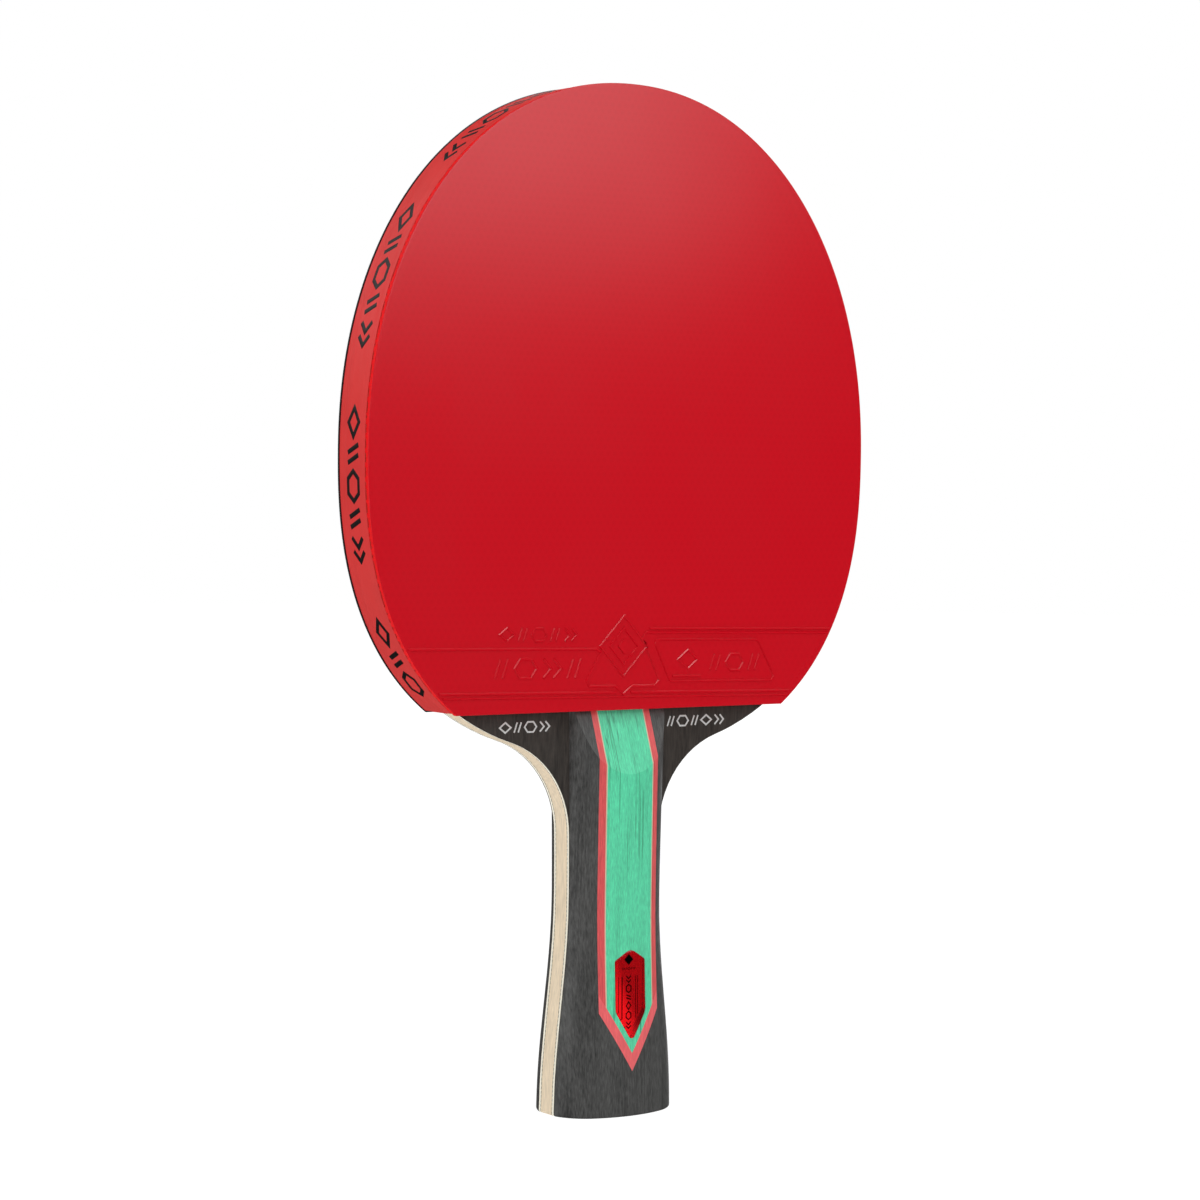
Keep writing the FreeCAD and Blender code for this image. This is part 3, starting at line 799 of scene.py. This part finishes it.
class BuildRubbers(bpy.types.Operator):
    """Red and black sheets with their pips and moulded labels"""
    bl_idname = "paddle.rubbers"
    bl_label = "Rubbers"

    def execute(self, context):
        sizes = context.scene.paddle_rubber
        colours = {FRONT: ("red", sizes.red, sizes.red_cut, 0.09),
                   BACK: ("black", sizes.black, shade(sizes.black, 1.6), 0.3)}
        for side, tag in TAGS:
            name, face, cut, lattice = colours[side]
            shells = [self.sheet(side, sizes), self.pips(side, sizes), *self.label(side, sizes)]
            piece = add_piece(f"{name}_topsheet", shells,
                              [rubber_finish(f"{name}_rubber_face", face, sizes.gloss, lattice),
                               cut_rubber_finish(f"{name}_rubber_cut", cut)],
                              f"{name}_rubber", replaced=[f"topsheet_{tag}"])
            paint_walls(piece, RUBBER_TOP - HAIR)
        return {"FINISHED"}

    @staticmethod
    def sheet(side, sizes):
        """The head's outline carried up the sheet's wall, over a quarter-round rim and inwards.

        Inset and height of the rim are r(1 - cos t) and r sin t as t goes to 90 degrees; the two
        flat faces are the rim's outline drawn together towards the middle.  The black sheet's wall
        stands back by the tape's thickness as far up as the tape laps onto it.  Elsewhere only its
        foot stands back, by the undercut.
        """
        undercut, chamfer = 0.08 * MM, 0.06 * MM
        top, foot = RUBBER_TOP, RUBBER_TOP - sizes.sheet
        lap, deep = (TAPE_HIGH, TAPE_THICKNESS + HAIR) if side == BACK else (foot, undercut)
        turn = np.linspace(0, math.pi / 2, 5)
        inset = np.concatenate([[2.0 * MM, deep, deep, 0.0], sizes.rounding * (1 - np.cos(turn)),
                                [sizes.rounding + 0.3 * MM]])
        lift = np.where(inset == deep, undercut, inset)
        height = np.concatenate([[foot, foot, lap, lap + chamfer],
                                 top - sizes.rounding * (1 - np.sin(turn)), [top]])
        x, z = head_ring(inset, lift)
        x_in, z_in = shrunk(x[-1], z[-1], [0.96, 0.85, 0.65, 0.45, 0.25, 0.1])
        x, z = np.vstack([x, x_in]), np.vstack([z, z_in])
        height = np.concatenate([height, np.full(len(x_in), top)])[:, None]
        return carried(upright(x, side * height, z)[None])

    @staticmethod
    def pips(side, sizes):
        """Eight-sided pips on a triangular lattice, along the edge only, cut where they cross it.

        The head's outline is where (|x|/a)^n + (|z-w|/b)^n = 1, so a point outside it is brought
        back by dividing its distance from the middle of the widest line by the n-th root.  A pip
        flares to its root, and its ends go a little way into the sheet and stop at the sponge.
        """
        pitch, radius, zone = sizes.pip_pitch, sizes.pip_radius, sizes.pip_zone
        row_gap = pitch * math.sqrt(3) / 2
        rows = np.arange(int((HEAD["tip"] - HEAD["bottom"]) / row_gap) + 2)
        columns = np.arange(-int(HEAD["half"] / pitch) - 1, int(HEAD["half"] / pitch) + 2)
        z, x = np.meshgrid(HEAD["bottom"] + rows * row_gap, columns * pitch, indexing="ij")
        x = x + (rows % 2)[:, None] * pitch / 2
        centres = np.stack([x.ravel(), z.ravel()], -1)

        def excess(points, inset):
            half = HEAD["half"] - inset
            reach = lower_reach(half, HEAD["edge"] - inset)
            up = points[..., 1] > HEAD["widest"]
            power = np.where(up, UPPER_ROUNDNESS, LOWER_ROUNDNESS)
            tall = np.where(up, HEAD["tip"] - HEAD["widest"] - inset, reach)
            total = (np.abs(points[..., 0]) / half) ** power
            total = total + (np.abs(points[..., 1] - HEAD["widest"]) / tall) ** power
            return total ** (1 / power)

        inner = (excess(centres, zone) < 1) & (centres[:, 1] > HEAD["bottom"] + zone)
        spill = 0.25 * radius
        outer = (excess(centres, -spill) < 1) & (centres[:, 1] > HEAD["bottom"] - spill)
        centres = centres[outer & ~inner]
        around = np.arange(8) * math.pi / 4 + math.pi / 8
        circle = np.stack([np.cos(around), np.sin(around)], -1)
        widths = np.array([1.18, 1.0, 1.0]) * radius
        spots = centres[:, None, None] + circle[None, None] * widths[None, :, None, None]
        centre = np.array([0.0, HEAD["widest"]])
        margin = 0.12 * MM
        trim = excess(spots, margin if side == FRONT else TAPE_THICKNESS + HAIR)
        spots = centre + (spots - centre) / np.maximum(trim, 1.0)[..., None]
        spots[..., 1] = np.maximum(spots[..., 1], HEAD["bottom"] + margin)
        root = RUBBER_TOP - sizes.sheet
        heights = np.array([root + HAIR, root - 0.15 * MM, SPONGE_TOP + 0.01 * MM])
        return carried(upright(spots[..., 0], side * heights[None, :, None], spots[..., 1]))

    @staticmethod
    def label(side, sizes):
        """Moulded lines, a lozenge emblem, rows of line figures and a framed panel.

        Places are in millimetres from the middle of the bottom edge, and lean down by the slope.
        """
        slope, middle = 0.018, -0.4
        tall, sink = sizes.label_height, 0.05 * MM

        def place(u, v, rise):
            across, up = -side * u * MM, HEAD["bottom"] + (v - slope * u) * MM
            return upright(across, side * (RUBBER_TOP + rise), up)

        def moulded(path, looped=False, width=1.0):
            wide = sizes.label_width / MM * width
            return ribbon(path, wide, wide * 0.45, tall, sink, place, looped)

        def reach(height):
            """How far out a line runs at this height above the bottom edge, short of the rim."""
            return half_width_at(HEAD["bottom"] + height * MM) / MM - 0.7

        shells = [
            moulded([(-reach(16.4), 15.3), (-9.0, 15.3), (-7.4, 14.6), (-11.7, 7.4), (-10.8, 6.0),
                     (-3.0, 6.0), (middle, 3.9), (2.2, 6.0), (9.0, 6.0), (10.6, 7.4), (5.4, 18.0),
                     (6.4, 19.5), (reach(18.0), 19.5)]),
            moulded([(7.4, 20.5), (reach(19.0), 20.5)], width=0.8),
            moulded([(-reach(5.1), 4.4), (-2.6, 4.4)]),
            moulded([(1.8, 4.4), (reach(3.1), 4.4)]),
            moulded([(-reach(4.0), 3.3), (reach(2.0), 3.3)], width=0.8),
        ]
        frame, _ = rounded_outline([(8.6, 17.7), (41.6, 17.7), (47.8, 7.1), (13.9, 7.1)],
                                   [1.0, 1.6, 1.2, 1.0], 5)
        shells.append(moulded(frame, True, 0.75))
        emblem = middle, 16.0
        for half_u, half_v, width in ((7.2, 7.6, 1.0), (4.3, 4.6, 0.8)):
            shells.append(moulded(lozenge(*emblem, half_u, half_v)[0], True, width))
        shells.append(tiles(lozenge(*emblem, 1.9, 2.1), tall, sink, 0.16, place))
        shells.append(moulded([(14.6, 8.4), (23.6, 8.4)], width=0.8))
        rows = (
            (("strokes", "hexagon", "chevrons", "strokes"), -39.0, 7.7, 5.6, 0.85),
            (LONG_ROW, -37.4, 17.0, 3.8, 0.65),
            (("lozenge",), 16.4, 9.8, 5.6, 0.75),
            (("strokes", "hexagon", "strokes"), 26.2, 9.4, 4.9, 0.75),
        )
        for names, start, low, high, stroke in rows:
            shells += mark_row(names, start, low, high, stroke, tall, sink, place, crest=0.35)
        return shells


class BuildSponges(bpy.types.Operator):
    """Foam layers under both sheets"""
    bl_idname = "paddle.sponges"
    bl_label = "Sponges"

    def execute(self, context):
        sizes = context.scene.paddle_rubber
        foam = foam_finish("sponge_foam_cells", sizes.sponge)
        for side, tag in TAGS:
            piece = add_piece(f"foam_{tag}", [self.slab(side)], [foam], "sponge_foam",
                              replaced=[f"sponge_{tag}"])
        return {"FINISHED"}

    @staticmethod
    def slab(side):
        """Slab with knife-cut walls that waver by a few hundredths and swell between the glue lines.

        The wall's inset is the tape's thickness plus 0.12 (2s - 1)^2 mm for s from 0 to 1 up the
        wall.  A small product of sines along the edge draws the outline in further.
        """
        share = np.linspace(0, 1, 7)
        inset = TAPE_THICKNESS + 0.01 * MM + 0.12 * MM * (2 * share - 1) ** 2
        inset = np.concatenate([[inset[0] + 2 * MM], inset, [inset[-1] + 2 * MM]])
        heights = SPONGE_FOOT + (SPONGE_TOP - SPONGE_FOOT) * np.concatenate([[0], share, [1]])
        x, z = head_ring(inset)
        turn = np.arange(x.shape[1]) / x.shape[1] * 2 * math.pi
        waver = 1 - 0.0004 * (1 + np.sin(17 * turn) * np.sin(5 * turn + 1))
        x, z = x * waver, HEAD["widest"] + (z - HEAD["widest"]) * waver
        return carried(upright(x, side * heights[:, None], z)[None])


# ---- edge tape ----

class BuildTape(bpy.types.Operator):
    """Edge tape pressed over the wood and sponges, with its black marks"""
    bl_idname = "paddle.tape"
    bl_label = "Edge tape"

    def execute(self, context):
        sizes = context.scene.paddle_tape
        self.trace(sizes)
        tape = add_piece("satin_edge_tape", [self.band(sizes)], [tape_finish("satin_tape", sizes.face)],
                         "tape_band", replaced=["edge_tape"])
        self.unroll(tape)
        ink = ink_finish("black_ink", sizes.ink, 0.4)
        add_piece("tape_marks", self.marks(sizes), [ink], "tape_band")
        return {"FINISHED"}

    def trace(self, sizes):
        """The tape's centre line by length: where it is, and which way is out."""
        lower, upper = 400, 500
        x, z = head_ring(sizes.skin, None, lower, upper, 3)
        around = 2 * (lower - 1 + upper) - 1
        x, z = x[0, :around], z[0, :around]
        above = z > TAPE_FOOT
        x, z = x[above], z[above]
        along = np.concatenate([[0], np.cumsum(np.hypot(np.diff(x), np.diff(z)))])
        run_x, run_z = np.gradient(x, along), np.gradient(z, along)
        size = np.hypot(run_x, run_z)
        self.line = along, x, z, run_z / size, -run_x / size

    def on_tape(self, u, v, rise):
        """Point at length u along the tape, v across it and rise above its face."""
        along, x, z, out_x, out_z = self.line
        spot_x = np.interp(u, along, x) + rise * np.interp(u, along, out_x)
        spot_z = np.interp(u, along, z) + rise * np.interp(u, along, out_z)
        return upright(spot_x, v, spot_z)

    def band(self, sizes):
        """A thin rounded section carried along the line; it dips where |y| passes onto the sponge.

        Its face is at minus sink times a smooth step of |y| round the sponge's foot, with rims
        rounded off by 0.08 mm over 0.12 mm, plus a ripple from two sines along the tape.  Points
        across it are spaced by a cosine, so that they crowd at both rims.
        """
        thick = TAPE_THICKNESS - sizes.skin - 0.03 * MM
        u = np.linspace(0, self.line[0][-1], 420)[:, None]
        low, high = TAPE_LOW + 2 * HAIR, TAPE_HIGH - HAIR
        v = low + (high - low) * (1 - np.cos(np.linspace(0, math.pi, 33))) / 2
        step = np.clip((np.abs(v) - SPONGE_FOOT + 0.5 * MM) / (1.0 * MM), 0, 1)
        rim = np.clip(np.minimum(v - low, high - v) / (0.12 * MM), 0, 1)
        dip = -sizes.sink * step ** 2 * (3 - 2 * step) - 0.08 * MM * (1 - np.sqrt(1 - (1 - rim) ** 2))
        ripple = np.sin(u * 310 + 1) * np.sin(u * 97) * np.cos(v * 260 + u * 40)
        outer = dip + 0.012 * MM * (ripple - 1)
        inner = np.full(outer.shape, -thick)
        across = np.concatenate([v, v[::-1]])
        rise = np.hstack([outer, inner])
        return carried(self.on_tape(np.broadcast_to(u, rise.shape), across, rise)[None])

    def unroll(self, tape):
        """UV map of the tape: u is metres along it and v metres across it."""
        mesh = tape.data
        layer = mesh.uv_layers.new(name="along_tape")
        corners = array_of(mesh.loops, "vertex_index", 1, np.int32)[:, 0]
        points = array_of(mesh.vertices, "co")
        along, x, z = self.line[:3]
        bearing = np.unwrap(np.arctan2(z - HEAD["widest"], x))
        turn = np.arctan2(points[:, 2] - HEAD["widest"], points[:, 0])
        turn = np.where(turn < bearing[0] - 0.05, turn + 2 * math.pi, turn)
        u = np.interp(turn, bearing, along)
        spots = np.stack([u, points[:, 1]], -1)[corners]
        layer.data.foreach_set("uv", spots.ravel().astype(np.float32))

    def marks(self, sizes):
        """Rows of line figures repeated along the tape; a figure is left out where the tape ends."""
        tall, margin = sizes.print_height, 1.0 * MM
        shells = []
        for step in range(-2, 9):
            start = step * sizes.print_pitch + sizes.print_start
            for name in LONG_ROW:
                wide = (MARKS[name][0] + MARK_GAP) * tall
                if start > margin and start + wide < self.line[0][-1] - margin:
                    shells += mark_row([name], start, -tall / 2, tall, tall * 0.21, HAIR, 0.03 * MM,
                                       self.on_tape, parts=6)
                start += wide
        return shells


# ---- handle ----

class BuildHandle(bpy.types.Operator):
    """Finishes of the scales and inlays"""
    bl_idname = "paddle.handle"
    bl_label = "Handle"

    def execute(self, context):
        sizes = context.scene.paddle_handle
        below = 0.05, 12.0
        dress_in_wood((
            ("handle_scale", "dark_handle_wood", sizes.dark, (1.55, 0.50), 4.2, 1.1, 0.50, 0.35, *below),
            ("green_inlay", "green_dyed_wood", sizes.green, (1.25, 0.70), 4.4, 1.0, 0.45, 0.6, *below),
            ("red_strip", "red_dyed_wood", sizes.red, (1.2, 0.78), 3.4, 0.9, 0.45, 0.2, *below),
            ("red_point", "point_dyed_wood", sizes.point, (1.15, 0.82), 3.4, 0.9, 0.45, 0.0, *below),
            ("pale_line", "pale_line_wood", sizes.pale, (1.1, 0.85), 3.0, 0.7, 0.5, 0.0, *below),
        ))
        return {"FINISHED"}


# ---- badge ----

class BuildBadge(bpy.types.Operator):
    """Polished lens over foil, with plain marks between them"""
    bl_idname = "paddle.badge"
    bl_label = "Badge"

    def execute(self, context):
        sizes = context.scene.paddle_badge
        dress("badge_foil", foil_finish("bright_foil", sizes.foil, sizes.foil_painted_shade))
        add_piece("badge_cover", [self.cover(sizes)], [lens_finish("red_acrylic", sizes.lens)],
                  "badge_acrylic", crease=25, replaced=["badge_lens"])
        add_piece("badge_marks", self.marks(), [ink_finish("badge_ink", sizes.ink, 0.5)], "badge_metal")
        return {"FINISHED"}

    @staticmethod
    def outline():
        """The frame lens's outline as its corners and radii, from its box."""
        low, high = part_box("badge_lens")
        half = high.x
        top, bottom = high.z + 0.46 * MM, low.z - 1.05 * MM
        shoulder, hip = top - 2.9 * MM, bottom + 1.68 * half
        corners = [(0, top), (half, shoulder), (half, hip), (0, bottom), (-half, hip), (-half, shoulder)]
        return rounded_outline(corners, np.array([2.5, 0.9, 3.0, 1.1, 3.0, 0.9]) * MM)

    def cover(self, sizes):
        """The outline carried up the lens's wall and over its bevel, then drawn to the middle.

        The top is the handle's crown plus the rise: a sheet that is fitted to the frame lens as
        a + b x^2 + c z + d z^2.
        """
        points = array_of(FRAME["nodes"]["badge_lens"].data.vertices, "co")
        low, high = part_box("badge_lens")
        crown = points[points[:, 1] < high.y - 0.6 * (high.y - low.y) / 2]

        def terms(x, z):
            x, z = x / MM, (z - low.z) / MM
            return np.stack([np.ones_like(x), x ** 2, z, z ** 2], -1)

        fit = np.linalg.lstsq(terms(crown[:, 0], crown[:, 2]), crown[:, 1], rcond=None)[0]
        outline, normals = self.outline()
        margin = 0.05 * MM
        insets = margin + sizes.bevel * np.array([0.0, 0.0, 0.0, 0.35, 0.7, 1.0, 1.3])
        drops = np.array([0.0, 0.0, 0.5, 0.2, 0.06, 0.0, 0.0]) * sizes.bevel
        rows = outline - normals * insets[:, None, None]
        middle = outline.mean(0)
        inner = middle + (rows[-1] - middle) * np.array([0.85, 0.65, 0.45, 0.25, 0.1])[:, None, None]
        rows = np.concatenate([rows, inner])
        drops = np.concatenate([drops, np.zeros(len(inner))])
        y = terms(rows[..., 0], rows[..., 1]) @ fit - sizes.rise + drops[:, None]
        y[0] = high.y - 0.01 * MM
        y[1] = high.y - 0.03 * MM
        return carried(upright(rows[..., 0], y, rows[..., 1])[None])

    @staticmethod
    def marks():
        """Hairlines, a lozenge over a short row, and a long row downwards, printed on the foil.

        A hairline ends 1.3 mm above the lower edge, which climbs 1.68 times as fast as it goes out.
        """
        low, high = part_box("badge_foil")
        middle = (low.z + high.z) / 2

        def place(u, v, rise):
            return upright(u, low.y + HAIR - rise, v)

        def downwards(u, v, rise):
            return place(v, middle - u, rise)

        thin = {"height": 0.03 * MM, "sink": 0.03 * MM}
        shells = []
        for x, width in ((-2.95, 0.16), (-1.95, 0.28), (2.05, 0.16), (2.65, 0.16)):
            foot, crown = low.z + (1.68 * abs(x) + 1.3) * MM, middle + 4.4 * MM
            left, right = (x - width / 2) * MM, (x + width / 2) * MM
            line = np.array([[[left, foot], [right, foot], [right, crown], [left, crown]]])
            shells.append(tiles(line, chamfer=0.01 * MM, place=place, **thin))
        shells.append(tiles(lozenge(0.0, middle + 8.6 * MM, 1.35 * MM, 1.4 * MM), chamfer=0.01 * MM,
                            place=place, **thin))
        shells += mark_row(LONG_ROW, -1.9 * MM, middle + 6.0 * MM, 0.64 * MM, 0.15 * MM, place=place,
                           **thin)
        names = ("chevrons", "hexagon", "strokes", "lozenge", "hexagon", "chevrons")
        shells += mark_row(names, -4.6 * MM, -0.9 * MM, 1.75 * MM, 0.36 * MM, place=downwards, **thin)
        return shells


# ---- studio ----

class BuildStage(bpy.types.Operator):
    """Pale floor, soft lights and camera"""
    bl_idname = "paddle.stage"
    bl_label = "Studio"

    def execute(self, context):
        sizes = context.scene.paddle_stage
        self.floor(sizes)
        self.surroundings(context.scene, sizes)
        self.camera(context.scene, sizes)
        for name, place, size, power in (
            ("key_light", (-0.95, -1.05, 1.35), 1.2, 8.0),
            ("top_light", (-0.2, -0.25, 1.9), 1.0, 14.0),
            ("strip_light", (0.9, -0.55, 1.2), 1.0, 4.0),
            ("sheen_light", (0.51, -1.20, 0.67), 0.74, 4.6),
            ("fill_light", (1.5, -0.1, 0.5), 1.2, 2.0),
            ("back_light", (-0.9, 1.2, 1.1), 1.3, 6.0),
            ("left_light", (-1.5, 0.1, 0.35), 1.1, 7.0),
            ("back_sheen", (1.15, 1.15, 0.30), 1.3, 7.0),
        ):
            self.lamp(name, Vector(place), size, power)
        return {"FINISHED"}

    @staticmethod
    def floor(sizes):
        """A wide flat disc under the butt, in rings round the origin.

        It glows by itself, a little brighter further out, so that it looks the same from anywhere.
        """
        turn = np.linspace(0, 2 * math.pi, 97)[:-1]
        radius = np.array([0.4, 1.2, 3.0, 3.0, 1.2])[:, None]
        depth = np.array([0.0, 0.0, 0.0, -0.01, -0.01])[:, None]
        rings = upright(radius * np.cos(turn), radius * np.sin(turn), depth)
        material, tree, shader = finish_of("pale_floor", Roughness=0.9, Specular_IOR_Level=0.1,
                                           Emission_Strength=1.0)
        spot = node(tree, "TexCoord").outputs["Object"]
        away = node(tree, "VectorMath", {0: spot}, operation="LENGTH").outputs["Value"]
        wire(tree, shader,
             Emission_Color=mixed(tree, ramped(tree, away, 0.3, 2.5), (0.95,) * 3, (1.0,) * 3),
             Base_Color=mixed(tree, noise(tree, 3.0, place=spot), shade(sizes.floor, 0.99), sizes.floor))
        floor = add_object("studio_floor", mesh_of("studio_floor", [carried(rings[None])], [material]))
        floor.visible_glossy = False

    @staticmethod
    def surroundings(scene, sizes):
        """White where the camera looks past the paddle, and dim grey for light and gloss."""
        world = bpy.data.worlds.new("studio")
        world.use_nodes = True
        tree = world.node_tree
        white, dim = (
            node(tree, "Background", {"Color": (1, 1, 1, 1), "Strength": strength}).outputs[0]
            for strength in (1.0, sizes.background)
        )
        seen = node(tree, "LightPath").outputs["Is Camera Ray"]
        both = node(tree, "MixShader", {0: seen, 1: dim, 2: white}).outputs[0]
        wire(tree, tree.nodes["World Output"].inputs, Surface=both)
        scene.world = world
        scene.view_settings.view_transform = "Standard"

    @staticmethod
    def camera(scene, sizes):
        """Axes from azimuth a and elevation e: back is (sin a cos e, -cos a cos e, sin e)."""
        a, e, r = sizes.azimuth, sizes.elevation, sizes.roll
        back = Vector((math.sin(a) * math.cos(e), -math.cos(a) * math.cos(e), math.sin(e)))
        level = Vector((math.cos(a), math.sin(a), 0.0))
        rise = back.cross(level)
        right = level * math.cos(r) + rise * math.sin(r)
        up = back.cross(right)
        data = bpy.data.cameras.new("camera")
        data.lens = sizes.lens
        data.sensor_width = 36.0
        data.clip_start = 0.01
        camera = add_object("camera", data)
        turned = Matrix((right, up, back)).transposed().to_4x4()
        camera.matrix_world = Matrix.Translation(Vector(sizes.place)) @ turned
        scene.camera = camera

    @staticmethod
    def lamp(name, place, size, power):
        """A square soft light that looks at the middle of the paddle."""
        data = bpy.data.lights.new(name, "AREA")
        data.size = size
        data.energy = power
        lamp = add_object(name, data)
        lamp.location = place
        lamp.rotation_euler = (Vector((0.0, 0.0, 0.14)) - place).to_track_quat("-Z", "Y").to_euler()


# ---- add-on ----

OPERATORS = (BuildBlade, BuildRubbers, BuildSponges, BuildTape, BuildHandle, BuildBadge, BuildStage)


class PaddlePanel(bpy.types.Panel):
    """Lists the paddle's pieces with their sizes and colours"""
    bl_idname = "VIEW3D_PT_paddle"
    bl_label = "Table tennis paddle"
    bl_space_type = "VIEW_3D"
    bl_region_type = "UI"
    bl_category = "Paddle"

    def draw(self, context):
        for operator in OPERATORS:
            self.layout.operator(operator.bl_idname)
        for name, group_class in GROUPS.items():
            box = self.layout.box()
            box.label(text=name.replace("_", " "))
            for key in group_class.__annotations__:
                box.prop(getattr(context.scene, name), key)


def register():
    for item in (*GROUPS.values(), *OPERATORS, PaddlePanel):
        bpy.utils.register_class(item)
    for name, group_class in GROUPS.items():
        setattr(bpy.types.Scene, name, PointerProperty(type=group_class))


def unregister():
    for name in GROUPS:
        delattr(bpy.types.Scene, name)
    for item in (PaddlePanel, *reversed(OPERATORS), *reversed(GROUPS.values())):
        bpy.utils.unregister_class(item)


def main():
    register()
    for operator in OPERATORS:
        family, name = operator.bl_idname.split(".")
        getattr(getattr(bpy.ops, family), name)()


if __name__ == "__main__":
    main()
